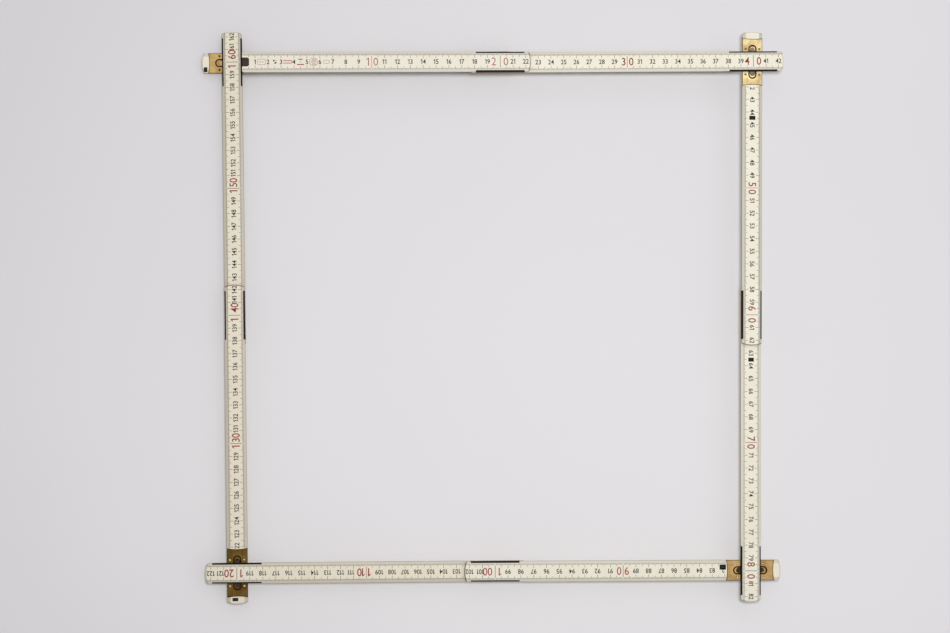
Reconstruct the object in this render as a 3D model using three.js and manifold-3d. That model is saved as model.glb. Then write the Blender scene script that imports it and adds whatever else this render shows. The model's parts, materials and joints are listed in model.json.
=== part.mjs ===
// A two-metre wooden folding rule with ten limbs, laid out as a square.
// Each limb lies one level below the limb before it, so the rule steps down at every pivot,
// and folds into a flat stack. Millimetres, +Z up.

import * as THREE from "three";
import { mergeVertices } from "three/addons/utils/BufferGeometryUtils.js";
import Module from "manifold-3d";

const wasm = await Module();
wasm.setup();

// Driving dimensions
const LIMB_COUNT = 10;
const PIVOT_PITCH = 200; // from one pivot to the next along a limb
const LEVEL_STEP = 3.4; // from one limb's middle plane to the next one's
const SLAT_WIDTH = 16;
const SLAT_THICKNESS = 3;
const FACE_STRIP = 10.2; // width of the flat middle of each face
const EDGE_DROP = 0.55; // how far the face falls from the strip to the slat's side
const END_REACH = 24; // from a pivot to the end of its limb
const END_ARC = 22; // radius of the end seen from above
const PLATE_LENGTH = 38;
const SHOULDER = 8; // length of the taper from the waist's edge to the full width

// The two halves of a hinge: the lower plate wraps the start of a limb at nearly its full width,
// and the upper plate sits in the narrower end of the limb above. The waist is the wood between
// the flanges, the tip is the end past the plate, and the corner is where the tip rounds off.
const LOWER_HALF = { waist: 14.4, flange: 0.7, tip: 15.9, corner: 1 };
const UPPER_HALF = { waist: 13.6, flange: 0.95, tip: 15.6, corner: 1.6 };

const PLATE_THICKNESS = 0.5;
const PLATE_PROUD = 0.05; // how far a plate's face stands above the wood
const FLANGE_HEIGHT = 2.6;
const PLATE_END_HOLLOW = 0.8; // how deep the plate's end edges curve in
const WINDOW_LENGTH = 26.5;
const WINDOW_WIDTH = 6.2;
const CLAW_ALONG = 10.15; // claws from the pivot, along and across the limb
const CLAW_ACROSS = 5.5;
const CLAW_SIZE = 0.9;
const CLAW_LENGTH = 0.9;
const RIDGE_START = 8.2; // detent ridges on the upper plate, from the pivot
const RIDGE_END = 12.4;
const RIDGE_WIDTH = 1.8;
const RIDGE_HEIGHT = 0.2;

const RIVET_RADIUS = 1.5;
const RIVET_HOLE = 1.62;
const RIVET_HEAD_RADIUS = 2.6;
const RIVET_HEAD = 0.5;
const SPRING_LENGTH = 30;
const SPRING_WIDTH = 7.6;
const SPRING_THICKNESS = 0.4;

const CAP_TONGUE = 5.4; // how far an end cap reaches over the face
const CAP_WIDTH = 7;
const CAP_TIP_WIDTH = 5;
const CAP_CHAMFER = 1.5; // length of its cut corners
const CAP_THICKNESS = 0.4;

const GAP = 0.05; // between pieces that touch
const ROUND_SIDES = 12;

// The heading of each limb, in degrees: along the top of the square, down its right side,
// back along the bottom, up the left side and under the first two limbs.
const HEADINGS = [0, 0.2, -91.2, -91.1, 179.3, 179.5, 90.3, 90.4, 0.3, 0.1];

const halfThickness = SLAT_THICKNESS / 2;
const plateTop = halfThickness + PLATE_PROUD;
const plateUnder = plateTop - PLATE_THICKNESS;
const flangeInside = (half) => half.waist / 2 + GAP;
const flangeOutside = (half) => flangeInside(half) + half.flange;
const springTop = plateUnder - GAP;
const springUnder = springTop - SPRING_THICKNESS;

// Materials
const paint = new THREE.MeshStandardMaterial({ color: 0xece6d3, roughness: 0.55, metalness: 0 });
const brass = new THREE.MeshStandardMaterial({ color: 0xc8a35c, roughness: 0.35, metalness: 1 });
const steel = new THREE.MeshStandardMaterial({ color: 0x5a5550, roughness: 0.45, metalness: 1 });
const darkened = new THREE.MeshStandardMaterial({ color: 0x5f5140, roughness: 0.45, metalness: 1 });
const bronzed = new THREE.MeshStandardMaterial({ color: 0x4a342b, roughness: 0.4, metalness: 1 });

// Turns a closed three.js geometry into a solid for cutting and joining.
function toSolid(geometry) {
  const bare = geometry.clone();
  bare.deleteAttribute("normal");
  bare.deleteAttribute("uv");
  const merged = mergeVertices(bare, 1e-4);
  return new wasm.Manifold(
    new wasm.Mesh({
      numProp: 3,
      vertProperties: merged.attributes.position.array,
      triVerts: new Uint32Array(merged.index.array),
    }),
  );
}

function toGeometry(solid) {
  const mesh = solid.getMesh();
  const geometry = new THREE.BufferGeometry();
  geometry.setAttribute("position", new THREE.BufferAttribute(mesh.vertProperties, 3));
  geometry.setIndex(new THREE.BufferAttribute(mesh.triVerts, 1));
  return geometry;
}

function join(solids) {
  return solids.reduce((sum, next) => sum.add(next));
}

function cut(solid, tools) {
  return tools.reduce((rest, tool) => rest.subtract(tool), solid);
}

// A flat outline raised from z = low to z = high.
function prism(shape, low, high, curveSegments = 6) {
  const geometry = new THREE.ExtrudeGeometry(shape, {
    depth: high - low,
    bevelEnabled: false,
    curveSegments,
  });
  geometry.translate(0, 0, low);
  return toSolid(geometry);
}

function block(x0, x1, y0, y1, z0, z1) {
  const geometry = new THREE.BoxGeometry(x1 - x0, y1 - y0, z1 - z0);
  geometry.translate((x0 + x1) / 2, (y0 + y1) / 2, (z0 + z1) / 2);
  return toSolid(geometry);
}

function disc(radius, low, high, sides = ROUND_SIDES) {
  const geometry = new THREE.CylinderGeometry(radius, radius, high - low, sides);
  geometry.rotateX(Math.PI / 2);
  geometry.translate(0, 0, (low + high) / 2);
  return toSolid(geometry);
}

// A slot shape with round ends, lying along X about the origin.
function slotShape(length, width) {
  const shape = new THREE.Shape();
  const straight = (length - width) / 2;
  shape.absarc(straight, 0, width / 2, -Math.PI / 2, Math.PI / 2);
  shape.absarc(-straight, 0, width / 2, Math.PI / 2, (3 * Math.PI) / 2);
  return shape;
}

// Half of a jointed end, from the middle of the end to where the slat is at full width.
// x runs from the pivot towards the end, y is across; the waist holds the hinge plate.
function jointedEndPoints(half) {
  const arcCentre = END_REACH - END_ARC;
  const arcEnd = half.tip / 2 - half.corner;
  const points = [];
  for (const share of [0, 0.35, 0.7, 1]) {
    const y = share * arcEnd;
    points.push([arcCentre + Math.sqrt(END_ARC * END_ARC - y * y), y]);
  }
  const cornerStart = points[points.length - 1][0];
  points.push([cornerStart - 0.35 * half.corner, half.tip / 2 - 0.3 * half.corner]);
  points.push([cornerStart - half.corner, half.tip / 2]);
  const plateEnd = PLATE_LENGTH / 2 + GAP;
  points.push([plateEnd, half.tip / 2]);
  points.push([plateEnd, half.waist / 2]);
  points.push([-plateEnd, half.waist / 2]);
  points.push([-plateEnd, half.tip / 2]);
  points.push([-plateEnd - SHOULDER, SLAT_WIDTH / 2]);
  return points;
}

// Half of a square end at x = 0 that runs towards negative x.
function squareEndPoints() {
  const chamfer = 1;
  return [
    [0, 0],
    [0, SLAT_WIDTH / 2 - chamfer],
    [-chamfer, SLAT_WIDTH / 2],
  ];
}

// The slat seen from above. Its start is the low end of its numbers.
function slatShape(hasStartJoint, hasEndJoint) {
  const startPoints = hasStartJoint ? jointedEndPoints(LOWER_HALF) : squareEndPoints();
  const endPoints = hasEndJoint ? jointedEndPoints(UPPER_HALF) : squareEndPoints();
  const start = startPoints.map(([x, y]) => [-x, y]);
  const end = endPoints.map(([x, y]) => [PIVOT_PITCH + x, y]);
  const upper = [...start, ...end.reverse()];
  const lower = upper.slice(1, -1).reverse().map(([x, y]) => [x, -y]);
  return new THREE.Shape([...upper, ...lower].map(([x, y]) => new THREE.Vector2(x, y)));
}

// A bar with the slat's cross-section: a flat strip on each face that falls away to the sides.
function slatBar() {
  const side = SLAT_WIDTH / 2;
  const strip = FACE_STRIP / 2;
  const low = halfThickness - EDGE_DROP;
  const section = new THREE.Shape(
    [
      [side, low],
      [strip, halfThickness],
      [-strip, halfThickness],
      [-side, low],
      [-side, -low],
      [-strip, -halfThickness],
      [strip, -halfThickness],
      [side, -low],
    ].map(([y, z]) => new THREE.Vector2(y, z)),
  );
  const length = PIVOT_PITCH + 2 * END_REACH + 2;
  const geometry = new THREE.ExtrudeGeometry(section, { depth: length, bevelEnabled: false });
  geometry.rotateZ(Math.PI / 2).rotateY(Math.PI / 2);
  geometry.translate(-END_REACH - 1, 0, 0);
  return toSolid(geometry);
}

// A hinge plate's outline: a rectangle whose two ends curve in.
function plateShape(half, grow = 0) {
  const x = PLATE_LENGTH / 2 + grow;
  const y = flangeOutside(half) + grow;
  const shape = new THREE.Shape();
  shape.moveTo(x, y);
  shape.lineTo(-x, y);
  shape.quadraticCurveTo(-x + 2 * PLATE_END_HOLLOW, 0, -x, -y);
  shape.lineTo(x, -y);
  shape.quadraticCurveTo(x - 2 * PLATE_END_HOLLOW, 0, x, y);
  return shape;
}

const clawPlaces = [];
for (const x of [-CLAW_ALONG, CLAW_ALONG]) {
  for (const y of [-CLAW_ACROSS, CLAW_ACROSS]) {
    clawPlaces.push([x, y]);
  }
}

function claws(size, length) {
  return clawPlaces.map(([x, y]) =>
    block(x - size / 2, x + size / 2, y - size / 2, y + size / 2, plateUnder - length, plateUnder),
  );
}

// What the wood loses for a hinge plate on its top face at the pivot.
function plateRecess(half) {
  const floor = plateUnder - GAP;
  return [
    prism(plateShape(half, GAP), floor, halfThickness + 1, 3),
    ...claws(CLAW_SIZE + 2 * GAP, CLAW_LENGTH + GAP),
  ];
}

// A channel of sheet metal: a base on the wood's top face, two flanges down its sides, four claws.
function channel(half) {
  const x = PLATE_LENGTH / 2;
  const foot = plateTop - FLANGE_HEIGHT;
  const fold = plateTop - 0.1;
  return join([
    prism(plateShape(half), plateUnder, plateTop, 3),
    block(-x, x, flangeInside(half), flangeOutside(half), foot, fold),
    block(-x, x, -flangeOutside(half), -flangeInside(half), foot, fold),
    ...claws(CLAW_SIZE, CLAW_LENGTH),
  ]);
}

// The plate on the lower limb has the window that shows the spring.
function windowPlate() {
  return cut(channel(LOWER_HALF), [prism(slotShape(WINDOW_LENGTH, WINDOW_WIDTH), 0, 3, 3)]);
}

// The plate under the upper limb turns on the rivet; its two ridges lie over the window's ends.
function ridgePlate() {
  const ridge = (from, to) =>
    block(from, to, -RIDGE_WIDTH / 2, RIDGE_WIDTH / 2, plateUnder, plateTop + RIDGE_HEIGHT);
  const ridges = [ridge(RIDGE_START, RIDGE_END), ridge(-RIDGE_END, -RIDGE_START)];
  return cut(join([channel(UPPER_HALF), ...ridges]), [disc(RIVET_HOLE, 0, 3)]);
}

// A leaf under the window, held by the plate's edges and pulled up by the rivet's head.
function leafSpring() {
  return cut(prism(slotShape(SPRING_LENGTH, SPRING_WIDTH), springUnder, springTop, 3), [
    disc(RIVET_HOLE, -1, 3),
  ]);
}

function springPocket() {
  const headRoom = springUnder - GAP - RIVET_HEAD - GAP;
  return [
    prism(
      slotShape(SPRING_LENGTH + 2 * GAP, SPRING_WIDTH + 2 * GAP),
      springUnder - GAP,
      halfThickness,
      3,
    ),
    disc(RIVET_HEAD_RADIUS + 4 * GAP, headRoom, halfThickness),
  ];
}

// The rivet's foot is under the spring and its head inside the limb above.
function rivet() {
  const footTop = springUnder - GAP;
  const headUnder = LEVEL_STEP - plateUnder + GAP;
  return join([
    disc(RIVET_HEAD_RADIUS, footTop - RIVET_HEAD, footTop),
    disc(RIVET_RADIUS, footTop - RIVET_HEAD / 2, headUnder + RIVET_HEAD / 2),
    disc(RIVET_HEAD_RADIUS, headUnder, headUnder + RIVET_HEAD),
  ]);
}

function rivetHeadPocket() {
  return disc(RIVET_HEAD_RADIUS + 4 * GAP, plateUnder - 3 * GAP - RIVET_HEAD, halfThickness);
}

// A clip folded over the square end at x = 0 of a slat that runs towards positive x.
function endCap(grow = 0) {
  const shape = new THREE.Shape();
  const tip = CAP_TONGUE + grow;
  const y = CAP_WIDTH / 2 + grow;
  shape.moveTo(-grow, y);
  shape.lineTo(-grow, -y);
  shape.lineTo(tip - CAP_CHAMFER, -y);
  shape.lineTo(tip, -CAP_TIP_WIDTH / 2 - grow);
  shape.lineTo(tip, CAP_TIP_WIDTH / 2 + grow);
  shape.lineTo(tip - CAP_CHAMFER, y);
  const inner = halfThickness - CAP_THICKNESS - grow;
  const outer = halfThickness + grow;
  const wall = CAP_THICKNESS + grow;
  return join([
    prism(shape, inner, outer),
    prism(shape, -outer, -inner),
    block(-grow, wall, -y, y, -outer, outer),
  ]);
}

const turnOver = (solid) => solid.rotate([180, 0, 0]);
const turnRound = (solid) => solid.rotate([0, 0, 180]);
const toEndPivot = (solid) => solid.translate([PIVOT_PITCH, 0, 0]);

function slat(number) {
  const hasStartJoint = number > 1;
  const hasEndJoint = number < LIMB_COUNT;
  const wood = prism(
    slatShape(hasStartJoint, hasEndJoint),
    -halfThickness - 1,
    halfThickness + 1,
  ).intersect(slatBar());
  const cuts = [];
  if (hasStartJoint) {
    cuts.push(...plateRecess(LOWER_HALF), ...springPocket());
  } else {
    cuts.push(endCap(GAP));
  }
  if (hasEndJoint) {
    const tools = [...plateRecess(UPPER_HALF), rivetHeadPocket()];
    cuts.push(...tools.map((tool) => toEndPivot(turnOver(tool))));
  } else {
    cuts.push(toEndPivot(turnRound(endCap(GAP))));
  }
  return cut(wood, cuts);
}

function addPiece(limb, name, solid, material) {
  const mesh = new THREE.Mesh(toGeometry(solid), material);
  mesh.name = name;
  limb.add(mesh);
}

// One limb with everything that moves with it, its start pivot at the group's origin.
function makeLimb(number) {
  const limb = new THREE.Group();
  addPiece(limb, `slat_${number}`, slat(number), paint);
  if (number > 1) {
    const pivot = number - 1;
    addPiece(limb, `lower_plate_${pivot}`, windowPlate(), brass);
    addPiece(limb, `leaf_spring_${pivot}`, leafSpring(), steel);
    addPiece(limb, `rivet_${pivot}`, rivet(), steel);
  } else {
    addPiece(limb, "zero_end_cap", endCap(), bronzed);
  }
  if (number < LIMB_COUNT) {
    addPiece(limb, `upper_plate_${number}`, toEndPivot(turnOver(ridgePlate())), darkened);
  } else {
    addPiece(limb, "far_end_cap", toEndPivot(turnRound(endCap())), bronzed);
  }
  return limb;
}

const rule = new THREE.Group();
const place = new THREE.Vector2(0, 0);
for (let number = 1; number <= LIMB_COUNT; number += 1) {
  const heading = THREE.MathUtils.degToRad(HEADINGS[number - 1]);
  const limb = makeLimb(number);
  limb.position.set(place.x, place.y, (LIMB_COUNT - number) * LEVEL_STEP + halfThickness);
  limb.rotation.z = heading;
  rule.add(limb);
  place.x += PIVOT_PITCH * Math.cos(heading);
  place.y += PIVOT_PITCH * Math.sin(heading);
}

// The origin is on the table, in the middle of the square that the limbs cover.
const covered = new THREE.Box3().setFromObject(rule);
const middle = covered.getCenter(new THREE.Vector3());
for (const limb of rule.children) {
  limb.position.sub(new THREE.Vector3(middle.x, middle.y, covered.min.z));
}

export default rule;
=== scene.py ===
import json
import math

import bmesh
import bpy
from mathutils import Matrix, Vector


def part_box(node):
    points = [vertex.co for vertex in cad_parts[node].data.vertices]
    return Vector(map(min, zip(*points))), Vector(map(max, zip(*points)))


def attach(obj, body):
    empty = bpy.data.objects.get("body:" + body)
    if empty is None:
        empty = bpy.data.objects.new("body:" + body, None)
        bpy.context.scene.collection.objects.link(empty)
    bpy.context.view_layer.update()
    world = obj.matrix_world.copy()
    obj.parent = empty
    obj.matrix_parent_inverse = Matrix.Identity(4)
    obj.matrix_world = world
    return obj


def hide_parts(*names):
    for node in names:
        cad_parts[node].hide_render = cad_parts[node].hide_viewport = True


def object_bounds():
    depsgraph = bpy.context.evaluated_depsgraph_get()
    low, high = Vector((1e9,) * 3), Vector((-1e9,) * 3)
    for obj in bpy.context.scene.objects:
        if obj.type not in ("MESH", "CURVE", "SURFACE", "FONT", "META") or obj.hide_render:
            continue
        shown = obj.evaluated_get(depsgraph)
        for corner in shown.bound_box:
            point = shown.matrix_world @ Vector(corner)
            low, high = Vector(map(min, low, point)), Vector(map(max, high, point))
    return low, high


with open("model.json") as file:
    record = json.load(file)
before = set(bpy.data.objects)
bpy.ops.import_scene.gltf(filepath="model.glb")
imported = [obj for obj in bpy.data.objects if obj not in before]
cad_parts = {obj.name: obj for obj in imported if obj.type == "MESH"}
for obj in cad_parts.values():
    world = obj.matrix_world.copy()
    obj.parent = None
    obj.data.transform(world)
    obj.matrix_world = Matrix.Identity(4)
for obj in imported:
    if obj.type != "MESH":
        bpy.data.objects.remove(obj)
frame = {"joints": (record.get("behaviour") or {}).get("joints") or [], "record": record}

cad_box = [list(corner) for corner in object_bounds()]


# ---- The ten limbs, laid out -------------------------------------------------------------
# Every limb is a slat 200 mm long from rivet to rivet. A limb's own axes start at its first
# rivet, half way through the wood: x runs towards higher numbers, y across, z up.
mm = 0.001
pitch = 200 * mm
mounts = {mount["name"]: Vector(mount["pos_m"]) for mount in frame["record"]["mounts"]}
rivet_places = [Vector(joint["pos_m"]) for joint in frame["joints"]]
stations = [mounts["zero_end"], *rivet_places, 2 * mounts["rest_face"] - rivet_places[-1]]
limbs = range(1, len(stations))
first_limb, last_limb = limbs[0], limbs[-1]


def limb_place(n):
    run = stations[n] - stations[n - 1]
    low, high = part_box(f"slat_{n}")
    start = Vector((stations[n - 1].x, stations[n - 1].y, (low.z + high.z) / 2))
    return Matrix.Translation(start) @ Matrix.Rotation(math.atan2(run.y, run.x), 4, "Z")


def set_on_limb(name, mesh, n, material, place=Matrix.Identity(4)):
    piece = bpy.data.objects.new(name, mesh)
    bpy.context.scene.collection.objects.link(piece)
    piece.matrix_world = limb_place(n) @ place
    if material is not None:
        mesh.materials.clear()
        mesh.materials.append(material)
    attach(piece, f"limb_{n}")
    return piece


# ---- The slats ---------------------------------------------------------------------------
# Hardwood slats, planed to a flat middle strip with sloping edges, dipped in ivory paint.
# At each end the wood is let in for its hinge plate: narrower, lower, and pocketed for the
# leaf spring and the rivet. The rule's two square ends are let in for their caps.
half_thickness = 1.5 * mm
half_width = 8 * mm
half_strip = 5.1 * mm
edge_fall = 0.55 * mm
plate_seat = 19.05 * mm
seat_floor = 1.0 * mm
seat_curve = 0.8 * mm
shoulder = 8 * mm
end_reach = 24 * mm
end_arc_radius = 22 * mm
# Half the waist between a plate's flanges, half the tip past it, the rounding of its corners.
lower_end = (7.2 * mm, 7.95 * mm, 1.0 * mm)
upper_end = (6.75 * mm, 7.8 * mm, 1.6 * mm)
pocket_half_length = 15.05 * mm
pocket_half_width = 3.85 * mm
pocket_floor = 0.55 * mm
# Round pockets for the rivet's foot and head: their radius, then the heights each is cut from.
rivet_pocket = 2.8 * mm
foot_pocket = (0, 0.7 * mm)
head_pocket = (-1.2 * mm, -0.35 * mm)
cap_tongue = 5.4 * mm
cap_half_width = 3.5 * mm
cap_tip_half_width = 2.5 * mm
cap_chamfer = 1.5 * mm
cap_sheet = 0.4 * mm
fitting_gap = 0.04 * mm
past_face = 2 * mm
weld_distance = 0.0005 * mm
# How much the slat's long edges are rounded off, right at the edge and just inside it.
edge_rounding = 0.25 * mm
inner_rounding = 0.07 * mm


def arc(centre, radius, first, last, steps):
    points = []
    for i in range(steps + 1):
        angle = math.radians(first + (last - first) * i / steps)
        points.append((centre[0] + radius * math.cos(angle), centre[1] + radius * math.sin(angle)))
    return points


def oblong(half_length, half, steps=16):
    straight = half_length - half
    return arc((straight, 0), half, -90, 90, steps) + arc((-straight, 0), half, 90, 270, steps)


def moved(outline, x):
    return [(a + x, b) for a, b in outline]


def inset(outline, distance):
    shrunk = []
    for i, (x, y) in enumerate(outline):
        before, after = outline[i - 1], outline[(i + 1) % len(outline)]
        tangent = Vector((after[0] - before[0], after[1] - before[1])).normalized()
        shrunk.append((x - tangent.y * distance, y + tangent.x * distance))
    return shrunk


def bridge(shape, ring, following):
    for i in range(len(ring)):
        j = (i + 1) % len(ring)
        shape.faces.new((ring[i], ring[j], following[j], following[i]))


# A skin through rings with the same number of points, open at its first and last ring.
def lofted(shape, rings):
    made = [[shape.verts.new(point) for point in ring] for ring in rings]
    for ring, following in zip(made, made[1:]):
        bridge(shape, ring, following)
    return made


def closed_loft(shape, rings):
    made = lofted(shape, rings)
    shape.faces.new(list(reversed(made[0])))
    shape.faces.new(made[-1])


# A solid from outlines stacked bottom to top, or along the slat.
def stacked(outlines_and_heights, axis="z"):
    shape = bmesh.new()
    rings = []
    for outline, height in outlines_and_heights:
        rings.append([(a, b, height) if axis == "z" else (height, a, b) for a, b in outline])
    closed_loft(shape, rings)
    return shape


def raised(outline, low, high, soft=0.0):
    if not soft:
        return stacked([(outline, low), (outline, high)])
    levels = []
    for share in (1, 0.6, 0.25, 0):
        levels.append((inset(outline, soft * share), low + soft * (1 - math.sqrt(1 - share**2))))
    for share in (0, 0.25, 0.6, 1):
        levels.append((inset(outline, soft * share), high - soft * (1 - math.sqrt(1 - share**2))))
    return stacked(levels)


def round_tool(x, radius, low, high):
    outline = arc((x, 0), radius, 0, 352.5, 47)
    return stacked([(outline, low), (outline, high)])


def carve(shape, tools, operation="DIFFERENCE"):
    scratch = bpy.data.collections.new("scratch")
    bpy.context.scene.collection.children.link(scratch)
    made = []
    for part in (shape, *tools):
        mesh = bpy.data.meshes.new("scratch")
        bmesh.ops.recalc_face_normals(part, faces=part.faces)
        part.to_mesh(mesh)
        part.free()
        piece = bpy.data.objects.new("scratch", mesh)
        scratch.objects.link(piece)
        made.append(piece)
    for tool in made[1:]:
        step = made[0].modifiers.new("carve", "BOOLEAN")
        step.operation = operation
        step.solver = "EXACT"
        step.object = tool
    bpy.context.view_layer.update()
    carved = bmesh.new()
    carved.from_mesh(made[0].evaluated_get(bpy.context.evaluated_depsgraph_get()).to_mesh())
    for piece in made:
        mesh = piece.data
        bpy.data.objects.remove(piece)
        bpy.data.meshes.remove(mesh)
    bpy.data.collections.remove(scratch)
    bmesh.ops.remove_doubles(carved, verts=carved.verts, dist=weld_distance)
    return carved


# The finished skin: sharp where it turns by more than the angle, and its broad faces flat.
def finished_mesh(shape, name, sharp_angle):
    bmesh.ops.recalc_face_normals(shape, faces=shape.faces)
    rough = bpy.data.meshes.new(name)
    shape.to_mesh(rough)
    shape.free()
    rough.shade_smooth()
    rough.set_sharp_from_angle(angle=math.radians(sharp_angle))
    piece = bpy.data.objects.new("scratch", rough)
    bpy.context.scene.collection.objects.link(piece)
    step = piece.modifiers.new("even", "WEIGHTED_NORMAL")
    step.keep_sharp = True
    step.weight = 90
    bpy.context.view_layer.update()
    mesh = bpy.data.meshes.new_from_object(piece.evaluated_get(bpy.context.evaluated_depsgraph_get()))
    bpy.data.objects.remove(piece)
    bpy.data.meshes.remove(rough)
    mesh.name = name
    return mesh


def face_height(y):
    past_strip = max(0.0, abs(y) - half_strip)
    return half_thickness - edge_fall * past_strip / (half_width - half_strip)


# How far a round end stands out past its corners, at y across it.
def end_bulge(y, flat):
    return math.sqrt(end_arc_radius**2 - min(abs(y), flat) ** 2) - math.sqrt(end_arc_radius**2 - flat**2)


# Each station across the slat: place from the rivet towards the end, half width, whether the
# hinge plate sits there, how far the seat's curved edge and the round end bow it, and how
# much the end's edge is rounded off.
def jointed_end_stations(waist, tip, corner):
    rows = []
    for share in (1, 0.8, 0.6, 0.4, 0.2, 0.001):
        swell = share * share * (3 - 2 * share)
        rows.append((-plate_seat - shoulder * share, tip + (half_width - tip) * swell, False, 0, 0, 0))
    rows.append((-plate_seat, tip, False, 1, 0, 0))
    rows.append((-plate_seat, waist, True, 1, 0, 0))
    for along in (-15, -5, 5, 15):
        rows.append((along * mm, waist, True, 0, 0, 0))
    rows.append((plate_seat, waist, True, -1, 0, 0))
    rows.append((plate_seat, tip, False, -1, 0, 0))
    end = end_reach - end_bulge(0, tip - corner)
    rows.append((end - 2.2 * mm, tip, False, 0, 0.1, 0))
    for share in (1, 0.7, 0.45, 0.25, 0.1):
        rounded = corner * (1 - math.sqrt(1 - (1 - share) ** 2))
        rows.append((end - corner * share, tip - rounded, False, 0, 1 - share, 0))
    for back, narrower, fall in ((0.03, 0.75, 0.02), (0.02, 0.95, 0.1), (0, 1.1, 0.3)):
        rows.append((end - back * mm, tip - corner * narrower, False, 0, 1, fall * mm))
    return rows


def square_end_stations():
    worn_corner = [(-10, 0, 0), (-1.2, 0, 0), (-0.9, 0.07, 0), (-0.5, 0.32, 0.02)]
    worn_corner += [(-0.2, 0.6, 0.04), (0, 0.95, 0.16)]
    rows = []
    for along, narrower, fall in worn_corner:
        rows.append((along * mm, half_width - narrower * mm, False, 0, 0, fall * mm))
    return rows


# Half a section's places across the slat, from its side to the middle, and the other half.
def section_places(half):
    places = [half, half - 0.06 * mm, half - 0.25 * mm, (half + half_strip) / 2, half_strip + 0.15 * mm]
    places += [share * half_strip for share in (0.96, 0.75, 0.5, 0.25)]
    return places + [0] + [-y for y in reversed(places)]


def section(row, flat, seat_on_top, seat_below):
    x, half, seated, seat_bow, end_bow, fall = row
    ring = []
    for side, seat_here in ((1, seat_on_top), (-1, seat_below)):
        places = section_places(half)
        for y in places if side == 1 else reversed(places):
            z = seat_floor if seated and seat_here else face_height(y)
            past = half - abs(y)
            if past < 0.01 * mm:
                z -= edge_rounding
            elif past < 0.1 * mm:
                z -= inner_rounding
            bow = end_bow * end_bulge(y, flat)
            if seat_here:
                bow += seat_bow * seat_curve * (1 - (y / half) ** 2)
            ring.append((x + bow, y, side * (z - fall)))
    return ring


# The end cap seen from above, with its two cut corners.
def cap_plan(grow=0.0):
    tip, side = cap_tongue + grow, cap_half_width + grow
    corners = [(tip - cap_chamfer, side), (tip, cap_tip_half_width + grow)]
    return [(-grow, -side), *[(x, -y) for x, y in corners], *reversed(corners), (-grow, side)]


# The cuts that let a cap's two tongues, and the fold between them, into a slat's square end.
def cap_recess_tools(tongue, end):
    recess_floor = half_thickness - cap_sheet - fitting_gap
    fold = rounded_block(end, 0, cap_sheet + fitting_gap, cap_half_width + fitting_gap, 0.05 * mm)
    above = raised(tongue, recess_floor, past_face)
    below = raised(tongue, -past_face, -recess_floor)
    return [above, below, raised(fold, -past_face, past_face)]


def slat_mesh(n):
    start_jointed, end_jointed = n > first_limb, n < last_limb
    start = jointed_end_stations(*lower_end) if start_jointed else square_end_stations()
    end = jointed_end_stations(*upper_end) if end_jointed else square_end_stations()
    rings = []
    for row in reversed(start):
        x, half, seated, seat_bow, end_bow, fall = row
        flat = lower_end[1] - lower_end[2]
        mirrored = (-x, half, seated, -seat_bow, -end_bow, fall)
        rings.append(section(mirrored, flat, start_jointed, False))
    for along in range(40, 170, 20):
        rings.append(section((along * mm, half_width, False, 0, 0, 0), half_strip, False, False))
    for row in end:
        rings.append(section((pitch + row[0], *row[1:]), upper_end[1] - upper_end[2], False, end_jointed))
    shape = bmesh.new()
    made = lofted(shape, rings)
    count = len(made[0])
    for ring in (made[0], made[-1]):
        for i in range(count // 2 - 1):
            shape.faces.new((ring[i], ring[i + 1], ring[count - 2 - i], ring[count - 1 - i]))
    if start_jointed:
        tools = [raised(oblong(pocket_half_length, pocket_half_width), pocket_floor, past_face)]
        tools.append(round_tool(0, rivet_pocket, *foot_pocket))
    else:
        tools = cap_recess_tools(cap_plan(fitting_gap), 0)
    if end_jointed:
        tools.append(round_tool(pitch, rivet_pocket, *head_pocket))
    else:
        tools += cap_recess_tools([(pitch - x, -y) for x, y in cap_plan(fitting_gap)], pitch)
    return finished_mesh(carve(shape, tools), f"slat_{n}", 32)


def rounded_block(x, y, half_length, half, corner):
    outline = []
    for a, b, first in ((1, 1, 0), (-1, 1, 90), (-1, -1, 180), (1, -1, 270)):
        centre = (x + a * (half_length - corner), y + b * (half - corner))
        outline += arc(centre, corner, first, first + 90, 4)
    return outline


def node(tree, kind, **inputs):
    made = tree.nodes.new("ShaderNode" + kind)
    for name, value in inputs.items():
        made.inputs[name.replace("_", " ")].default_value = value
    return made


def maths(tree, operation, first, second=0.0, clamp=False):
    made = tree.nodes.new("ShaderNodeMath")
    made.operation = operation
    made.use_clamp = clamp
    for socket, value in zip(made.inputs, (first, second)):
        if isinstance(value, (int, float)):
            socket.default_value = value
        else:
            tree.links.new(value, socket)
    return made.outputs[0]


def distance(tree, first, second):
    squares = [maths(tree, "MULTIPLY", side, side) for side in (first, second)]
    return maths(tree, "SQRT", maths(tree, "ADD", *squares))


def mix(tree, share, first, second):
    made = tree.nodes.new("ShaderNodeMix")
    made.data_type = "RGBA"
    for name, value in (("Factor", share), ("A", first), ("B", second)):
        socket = next(s for s in made.inputs if s.name == name and s.enabled)
        if isinstance(value, bpy.types.NodeSocket):
            tree.links.new(value, socket)
        else:
            socket.default_value = value
    return next(s for s in made.outputs if s.enabled)


def noise(tree, coordinates, stretch, scale, detail):
    mapping = node(tree, "Mapping", Scale=stretch)
    tree.links.new(coordinates, mapping.inputs["Vector"])
    made = node(tree, "TexNoise", Scale=scale, Detail=detail)
    tree.links.new(mapping.outputs[0], made.inputs["Vector"])
    return made.outputs["Fac"]


def between(tree, value, low, high):
    made = tree.nodes.new("ShaderNodeMapRange")
    made.interpolation_type = "SMOOTHSTEP"
    made.inputs["From Min"].default_value = low
    made.inputs["From Max"].default_value = high
    tree.links.new(value, made.inputs["Value"])
    return made.outputs["Result"]


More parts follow.
